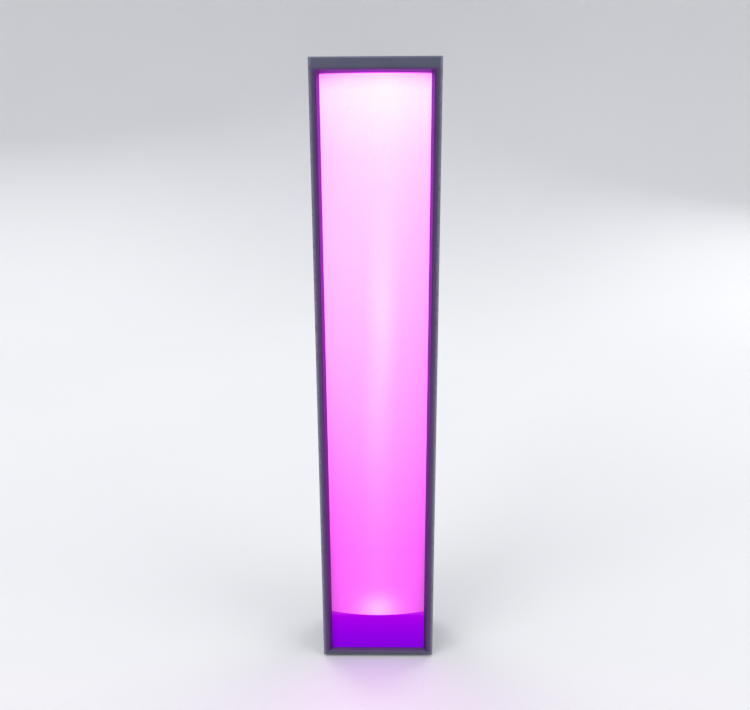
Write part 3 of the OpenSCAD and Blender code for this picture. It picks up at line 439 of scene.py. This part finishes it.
dress(circuit_board("green_board", mask=(0.006, 0.075, 0.032), track=(0.012, 0.125, 0.055),
                    pad=(0.72, 0.56, 0.26), pitch=0.6 * MM),
      "control_board", "protection_board", "port_board")
dress(circuit_board("white_board", mask=(0.78, 0.78, 0.75), track=(0.70, 0.70, 0.67),
                    pad=(0.60, 0.60, 0.58), pitch=1.1 * MM),
      "led_board", "top_led_board", "uplight_board")


def led_package():
    """White package round a domed yellow phosphor."""
    m = Material("led_package")
    grains = m.cells(2600)
    tone = m.blend(m.spread(m.noise(330, 2.0), 0.35, 0.6), (0.82, 0.80, 0.70), (0.80, 0.58, 0.10))
    tone = m.scaled(tone, m.spread(grains, 0.0, 0.5, 0.88, 1.06))
    m.raise_by(grains, 8e-6)
    return m.set(tone, 0.0, m.vary(m.noise(500), 0.2, 0.34), **{"Coat Weight": 0.4})


dress(led_package(), "strip_leds", "base_leds", "end_leds")


def cell_wrap():
    """Blue shrink wrap with faint wrinkles, and bare steel at the ends of each cell."""
    m = Material("cell_wrap")
    low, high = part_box("battery_cells")
    z = m.axes()[2]
    wrinkles = m.noise(130, 4.0, 0.6, stretch=(1.0, 1.0, 0.25))
    tone = m.scaled((0.020, 0.105, 0.265), m.vary(wrinkles, 0.86, 1.12))
    cell_pitch = (high.z - low.z) / 2
    along = m.calc("FRACT", m.calc("DIVIDE", m.calc("SUBTRACT", z, low.z), cell_pitch))
    bare = m.calc("MAXIMUM", m.spread(along, 0.955, 0.965), m.spread(along, 0.012, 0.008))
    tone = m.blend(bare, tone, (0.60, 0.60, 0.61))
    m.raise_by(wrinkles, 5e-5)
    rough = m.vary(m.noise(400, 2.0), 0.26, 0.38)
    return m.set(tone, bare, rough, **{"Coat Weight": 0.25})


dress(cell_wrap(), "battery_cells")
dress(finish_of("chip_epoxy", (0.012, 0.012, 0.014), 0.0, 0.48, (1800, 8e-6), mottle=0.12),
      "board_chips", "display_module")
dress(finish_of("ferrite", (0.030, 0.030, 0.034), 0.2, 0.55, (1500, 1.4e-5), mottle=0.12), "power_inductors")
dress(finish_of("red_insulation", (0.34, 0.010, 0.010), 0.0, 0.42, (1500, 1e-5), mottle=0.07),
      "battery_leads")


CONDUCTOR_PITCH = 0.5 * MM


def flex_film():
    """Amber film with the darker lines of its copper conductors."""
    m = Material("flex_film")
    lines = m.spread(m.waves(m.axes()[0], CONDUCTOR_PITCH), -0.2, 0.2)
    tone = m.blend(lines, (0.42, 0.15, 0.018), (0.26, 0.085, 0.012))
    tone = m.scaled(tone, m.vary(m.noise(300, 3.0), 0.92, 1.08))
    m.raise_by(lines, 1.5e-5)
    return m.set(tone, 0.1, m.vary(m.noise(500), 0.24, 0.36), **{"Coat Weight": 0.3})


dress(flex_film(), "flex_cable")


def screen_glass():
    """Dark tinted window with a printed border, faint smears and dust."""
    m = Material("screen_glass")
    low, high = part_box("display_window")
    border = m.near_edges(Vector((low.x, -FAR, low.z)), Vector((high.x, FAR, high.z)), 1.6 * MM)
    smears = m.noise(60, 4.0, 0.6, stretch=(1.0, 1.0, 0.4))
    dust = m.spread(m.cells(1400), 0.08, 0.04)
    tone = m.blend(border, (0.006, 0.008, 0.014), (0.003, 0.003, 0.0035))
    tone = m.blend(m.calc("MULTIPLY", dust, 0.2), tone, (0.2, 0.2, 0.2))
    rough = m.spread(smears, 0.35, 0.7, 0.06, 0.17)
    return m.set(tone, 0.0, rough, **{"Coat Weight": 0.6, "Coat Roughness": 0.05})


dress(screen_glass(), "display_window")

# ---------- rounded edges on the CAD pieces that show ----------

soften(0.25 * MM, "front_frame", "top_cap", "bottom_cap")
soften(0.2 * MM, "housing", "mount_shoe", "tilt_arm", "lock_knob", "rubber_foot", "port_cover", "rail_stops")
soften(0.15 * MM, "control_panel", "power_button", "mode_button", "effect_button", "switch_knob",
       "dial_knob")
soften(0.12 * MM, "dial_cap", "tilt_bolt", "top_insert", "base_insert", "arm_insert")
soften(0.08 * MM, "panel_screws", "cap_screws", "frame_screws", "display_window", "usb_socket")

# ---------- threads of the inserts ----------


def placed(name, bm, material):
    """An object made of a bmesh, in the scene."""
    mesh = bpy.data.meshes.new(name)
    bm.to_mesh(mesh)
    bm.free()
    mesh.materials.append(material)
    made = bpy.data.objects.new(name, mesh)
    bpy.context.scene.collection.objects.link(made)
    return made


def piece(name, bm, material, body):
    """A new piece made of a bmesh, riding on a body."""
    made = placed(name, bm, material)
    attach(made, body)


THREAD_PITCH = 1.27 * MM
WALL_RADIUS, CREST_RADIUS = 3.195 * MM, 2.62 * MM   # the ridge's root is sunk a little in the bore's wall
THREAD_BRASS = finish_of("thread_brass", BRASS, 1.0, 0.30, (2600, 3e-6), mottle=0.08)


def thread(name, centre, axis, length, body):
    """The helical ridge of a 1/4 inch thread, standing in from its bore's wall and fading at both ends."""
    wall, crest, pitch = WALL_RADIUS, CREST_RADIUS, THREAD_PITCH
    steps, fade_steps, least = 40, 10, 0.04
    end_gap, root_half, crest_half = 0.55 * pitch, 0.44 * pitch, 0.07 * pitch
    turns = (length - 2 * end_gap) / pitch
    along = Vector(axis)
    side = along.orthogonal().normalized()
    third = along.cross(side)
    bm = bmesh.new()
    rings = []
    count = int(turns * steps)
    for i in range(count + 1):
        angle = 2 * math.pi * i / steps
        radial = side * math.cos(angle) + third * math.sin(angle)
        grown = max(least, min(1.0, i / fade_steps, (count - i) / fade_steps))
        tip = wall + (crest - wall) * grown
        base = centre + along * (end_gap + pitch * i / steps)
        profile = [(wall, -root_half), (tip, -crest_half), (tip, crest_half), (wall, root_half)]
        rings.append([bm.verts.new(base + radial * r + along * h) for r, h in profile])
    for a, b in zip(rings, rings[1:]):
        for k in range(4):
            bm.faces.new((a[k], b[k], b[(k + 1) % 4], a[(k + 1) % 4]))
    bm.faces.new(rings[0])
    bm.faces.new(reversed(rings[-1]))
    bmesh.ops.recalc_face_normals(bm, faces=bm.faces)
    piece(name, bm, THREAD_BRASS, body)


def threads():
    thread("base_thread_ridge", Vector((0, 0, 0)), (0, 0, 1), 10.5 * MM, BODY)
    low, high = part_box("top_insert")
    middle = centre_of("top_insert")
    thread("top_thread_ridge", Vector((middle.x, middle.y, low.z)), (0, 0, 1), high.z - low.z, BODY)
    low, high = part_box("arm_insert")
    middle = centre_of("arm_insert")
    thread("arm_thread_ridge", Vector((middle.x, low.y, middle.z)), (0, 1, 0), high.y - low.y, "arm")


threads()

# ---------- printed marks and the lit display ----------

SEGMENTS = {"0": "abcdef", "1": "bc", "3": "abcdg"}


class Marks:
    """Flat outlines gathered on one face of the light and then raised into one piece.

    Right and up are as someone sees them who looks at that face, and every measure is in millimetres.
    """

    ARC_STEPS, DISC_STEPS = 20, 28
    SUNK = 0.02

    def __init__(self, centre, right, out):
        self.centre, self.right, self.out = Vector(centre), Vector(right), Vector(out)
        self.outlines = []

    def bar(self, x, y, width, height, turn=0.0):
        c, s = math.cos(turn), math.sin(turn)
        a, b = width / 2, height / 2
        corners = ((-a, -b), (a, -b), (a, b), (-a, b))
        self.outlines.append([(x + c * u - s * v, y + s * u + c * v) for u, v in corners])

    def arc(self, x, y, radius, width, start, end):
        steps = self.ARC_STEPS
        turns = [math.radians(start + (end - start) * i / steps) for i in range(steps + 1)]
        outer, inner = ([(x + r * math.cos(t), y + r * math.sin(t)) for t in turns]
                        for r in (radius + width / 2, radius - width / 2))
        self.outlines.append(outer + inner[::-1])

    def ring(self, x, y, radius, width):
        self.arc(x, y, radius, width, 0, 180)
        self.arc(x, y, radius, width, 180, 360)

    def disc(self, x, y, radius):
        turns = [2 * math.pi * i / self.DISC_STEPS for i in range(self.DISC_STEPS)]
        self.outlines.append([(x + radius * math.cos(t), y + radius * math.sin(t)) for t in turns])

    def bolt(self, x, y, size):
        shape = [(0.12, 0.5), (-0.3, -0.06), (-0.04, -0.06), (-0.12, -0.5), (0.3, 0.08), (0.04, 0.08)]
        self.outlines.append([(x + a * size, y + b * size) for a, b in shape])

    def sun(self, x, y, disc_radius, ray_radius, length, thick, rays=8):
        """A disc with short bars round it that point outward."""
        self.disc(x, y, disc_radius)
        for k in range(rays):
            turn = 2 * math.pi * k / rays
            self.bar(x + ray_radius * math.cos(turn), y + ray_radius * math.sin(turn), length, thick, turn)

    def stroke(self, x0, y0, x1, y1, thick):
        """A bar with pointed ends, as in a seven-segment digit."""
        along = Vector((x1 - x0, y1 - y0)).normalized() * thick / 2
        side = Vector((-along.y, along.x))
        a, b = Vector((x0, y0)), Vector((x1, y1))
        points = [a, a + along + side, b - along + side, b, b - along - side, a + along - side]
        self.outlines.append([tuple(p) for p in points])

    def digits(self, text, x, y, height):
        width, thick, gap = 0.54 * height, 0.15 * height, 0.02 * height
        for index, digit in enumerate(text):
            left = x + index * (width + 1.9 * thick)
            right, middle, top = left + width, y + height / 2, y + height
            ends = {"a": (left, top, right, top), "g": (left, middle, right, middle),
                    "d": (left, y, right, y),
                    "f": (left, middle, left, top), "b": (right, middle, right, top),
                    "e": (left, y, left, middle), "c": (right, y, right, middle)}
            for name in SEGMENTS[digit]:
                x0, y0, x1, y1 = ends[name]
                gx, gy = (gap, 0) if y0 == y1 else (0, gap)
                self.stroke(x0 + gx, y0 + gy, x1 - gx, y1 - gy, thick)

    def raised(self, name, material, body, slot, height=0.05):
        bm = bmesh.new()
        up = Vector((0, 0, 1))
        for outline in self.outlines:
            low, high = ([bm.verts.new(self.centre + (self.right * a + up * b + self.out * h) * MM)
                          for a, b in outline] for h in (-self.SUNK, height))
            bm.faces.new(high)
            bm.faces.new(low[::-1])
            for k in range(len(outline)):
                after = (k + 1) % len(outline)
                bm.faces.new((low[k], low[after], high[after], high[k]))
        bmesh.ops.recalc_face_normals(bm, faces=bm.faces)
        piece(name, bm, material, body)


def on_back(x, y, z):
    """Marks on a face that looks to the back, where the viewer's right is -X."""
    return Marks((x, y, z), (-1, 0, 0), (0, 1, 0))


def ink(name, colour):
    return finish_of(name, colour, 0.0, 0.5, (2600, 5e-6), mottle=0.06, smudge=0.06)


PIXEL_PITCH = 0.16 * MM
LEVEL, HUE = "100", "300"    # brightness in percent and hue in degrees, as the display shows them


def lit_pixels(name, colour, stops=None, low=0.0, high=1.0):
    """Light of a small display: a fine pixel grid in one colour, or in colours that change along X."""
    m = Material(name)
    x, _, z = m.axes()
    tone = m.ramp(m.spread(x, low, high), stops) if stops else m.scaled(colour, 1.0)
    grid = [m.spread(m.waves(axis, PIXEL_PITCH), -1.0, -0.4, 0.72, 1.0) for axis in (x, z)]
    light = m.scaled(m.scaled(tone, grid[0]), grid[1])
    return m.set((0.02, 0.02, 0.02), 0.0, m.vary(m.noise(300), 0.25, 0.35),
                 **{"Emission Color": light, "Emission Strength": 1.0})


def display_picture():
    low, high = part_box("display_window")
    face = ((low.x + high.x) / 2, high.y, (low.z + high.z) / 2)
    readout = on_back(*face)
    line = 0.28
    readout.digits(LEVEL, -12.6, -1.6, 4.6)
    for x, y in ((-1.0, 2.3), (0.8, -0.9)):
        readout.ring(x, y, 0.5, line)
    readout.bar(-0.1, 0.7, line, 4.2, -0.5)
    readout.digits(HUE, 4.0, -1.6, 3.4)
    readout.ring(12.9, 1.5, 0.5, line)
    readout.raised("display_readout", lit_pixels("display_white", (0.62, 0.74, 0.92)), BODY, "screen_glass")

    symbols = on_back(*face)
    row, thin = 5.6, 0.22
    for y in (row - 0.7, row + 0.7):
        symbols.bar(11.4, y, 4.0, thin)
    for x in (9.5, 13.3):
        symbols.bar(x, row, thin, 1.6)
    symbols.bar(13.65, row, 0.3, 0.7)
    for x in (10.3, 11.4, 12.5):
        symbols.bar(x, row, 0.8, 0.9)
    symbols.sun(-12.0, row, 0.5, 0.95, 0.35, 0.16)
    symbols.raised("display_symbols", lit_pixels("display_green", (0.10, 0.62, 0.30)), BODY, "screen_glass")

    strip = on_back(*face)
    blocks, first, pitch = 25, -12.48, 1.04
    for k in range(blocks):
        strip.bar(first + k * pitch, -4.9, 0.9, 1.5)
    hues = [(0.0, (0.8, 0.0, 0.0)), (1 / 6, (0.7, 0.0, 0.7)), (2 / 6, (0.02, 0.02, 0.8)),
            (3 / 6, (0.0, 0.6, 0.7)), (4 / 6, (0.0, 0.6, 0.02)), (5 / 6, (0.7, 0.6, 0.0)),
            (1.0, (0.8, 0.0, 0.0))]
    edge = blocks * pitch / 2 * MM
    strip.raised("display_hue_strip", lit_pixels("display_hues", None, hues, face[0] - edge, face[0] + edge),
                 BODY, "screen_glass")

    marker = on_back(*face)
    hue_x = first + (blocks - 1) * pitch * int(HUE) / 360
    marker.outlines.append([(hue_x, -4.0), (hue_x + 0.6, -3.1), (hue_x - 0.6, -3.1)])
    magenta = lit_pixels("display_magenta", (0.80, 0.10, 0.78))
    marker.raised("display_hue_marker", magenta, BODY, "screen_glass")


def button_icon(name):
    low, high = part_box(name)
    return on_back((low.x + high.x) / 2, high.y, (low.z + high.z) / 2)


def printed_marks():
    white = ink("white_ink", (0.62, 0.62, 0.62))
    power = button_icon("power_button")
    power.arc(0, 0, 1.3, 0.3, 125, 415)
    power.bar(0, 0.95, 0.3, 1.5)
    power.raised("power_icon", white, "power_button", "red_button")
    mode = button_icon("mode_button")
    mode.sun(0, 0, 0.62, 1.25, 0.6, 0.24)
    mode.raised("mode_icon", white, "mode_button", "grey_button")
    effect = button_icon("effect_button")
    effect.bolt(0, 0, 3.4)
    effect.raised("effect_icon", white, "effect_button", "grey_button")

    panel_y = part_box("control_panel")[1].y
    dial = centre_of("dial_knob")
    scale = on_back(dial.x, panel_y, dial.z)
    ticks = 32
    for k in range(ticks):
        turn = 2 * math.pi * k / ticks
        radius, length = (14.3, 1.7) if k % 4 == 0 else (14.0, 1.0)
        scale.bar(radius * math.cos(turn), radius * math.sin(turn), length, 0.26, turn)
    scale.raised("dial_scale", white, BODY, "black_plastic")

    legend = on_back(0, panel_y, centre_of("switch_knob").z)
    aside = 9.6
    legend.bar(aside, 0, 0.28, 2.1)
    legend.ring(-aside, 0, 0.9, 0.28)
    legend.raised("switch_legend", white, BODY, "black_plastic")

    cap = centre_of("dial_cap")
    dot = on_back(cap.x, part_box("dial_cap")[1].y - 0.38 * MM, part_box("dial_knob")[1].z - 5.4 * MM)
    dot.disc(0, 0, 1.02)
    dot.raised("dial_pointer_dot", ink("orange_ink", (0.70, 0.13, 0.015)), "dial", "bright_metal", 0.12)

    low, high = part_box("port_cover")
    charge = Marks((high.x, (low.y + high.y) / 2, (low.z + high.z) / 2), (0, 1, 0), (1, 0, 0))
    charge.bolt(0, 0.4, 5.2)
    charge.raised("charge_icon", ink("grey_ink", (0.26, 0.26, 0.27)), "port_cover", "cover_rubber", 0.04)


display_picture()
printed_marks()

# ---------- studio ----------

PALE = (0.80, 0.80, 0.81)


def pale_surface():
    m = Material("studio_pale")
    tone = m.scaled(PALE, m.vary(m.noise(2.5, 3.0), 0.99, 1.01))
    return m.set(tone, 0.0, 0.8, **{"Specular IOR Level": 0.15})


def studio_bowl():
    """A flat floor that curves up into a wall all the way round, so that every side has a pale backdrop."""
    flat, curve, wall_top, turn_steps, curve_steps = 0.9, 1.3, 3.2, 72, 16
    profile = [(0.35, 0.0), (flat, 0.0)]
    for i in range(1, curve_steps + 1):
        angle = math.pi / 2 * i / curve_steps
        profile.append((flat + curve * math.sin(angle), curve * (1 - math.cos(angle))))
    profile.append((flat + curve, wall_top))
    bm = bmesh.new()
    centre = bm.verts.new((0, 0, 0))
    rings = []
    for radius, height in profile:
        turn = [2 * math.pi * k / turn_steps for k in range(turn_steps)]
        rings.append([bm.verts.new((radius * math.cos(a), radius * math.sin(a), height)) for a in turn])
    for k in range(turn_steps):
        after = (k + 1) % turn_steps
        bm.faces.new((centre, rings[0][k], rings[0][after]))
        for inner, outer in zip(rings, rings[1:]):
            bm.faces.new((inner[k], outer[k], outer[after], inner[after])).smooth = True
    bowl = placed("studio_bowl", bm, pale_surface())


SOFTBOXES = [   # name, place, size and power in watts
    ("key_left", (-0.9, -0.9, 1.1), (0.9, 0.9), 7),
    ("fill_right", (1.1, -0.6, 0.8), (0.9, 1.1), 4.5),
    ("back_left", (-0.8, 1.0, 1.0), (0.8, 0.8), 5),
    ("back_right", (0.9, 0.9, 0.7), (0.8, 0.8), 4),
    ("overhead", (0, 0.1, 1.5), (1.2, 1.2), 3.5),
]
AIM = Vector((0, 0, 0.15))    # the middle of the tube


def softbox(name, place, size, power):
    """A rectangular light that points at the tube and doesn't show in the picture itself."""
    data = bpy.data.lights.new(name, "AREA")
    data.shape = "RECTANGLE"
    data.size, data.size_y = size
    data.energy = power
    light = bpy.data.objects.new(name, data)
    light.location = place
    light.rotation_euler = (AIM - Vector(place)).to_track_quat("-Z", "Y").to_euler()
    light.visible_camera = False
    bpy.context.scene.collection.objects.link(light)


def studio():
    studio_bowl()
    for box in SOFTBOXES:
        softbox(*box)
    world = bpy.data.worlds.new("studio_air")
    world.use_nodes = True
    background = world.node_tree.nodes["Background"].inputs
    background["Color"].default_value = (0.92, 0.94, 1.0, 1)
    background["Strength"].default_value = 0.7
    bpy.context.scene.world = world


CAMERA_PLACE = Vector((3.64, -363.2, 265.71)) * MM
CAMERA_DEGREES = (74.834, 0.289, 0.669)
SENSOR_MM, LENS_MM = 36, 34.56


def place_camera():
    data = bpy.data.cameras.new("camera")
    data.sensor_width = SENSOR_MM
    data.lens = LENS_MM
    data.clip_start = 0.01
    camera = bpy.data.objects.new("camera", data)
    camera.location = CAMERA_PLACE
    camera.rotation_euler = [math.radians(angle) for angle in CAMERA_DEGREES]
    bpy.context.scene.collection.objects.link(camera)
    bpy.context.scene.camera = camera


studio()
place_camera()
bpy.context.scene.view_settings.view_transform = "Standard"


def corners(bounds):
    return [list(corner) for corner in bounds]
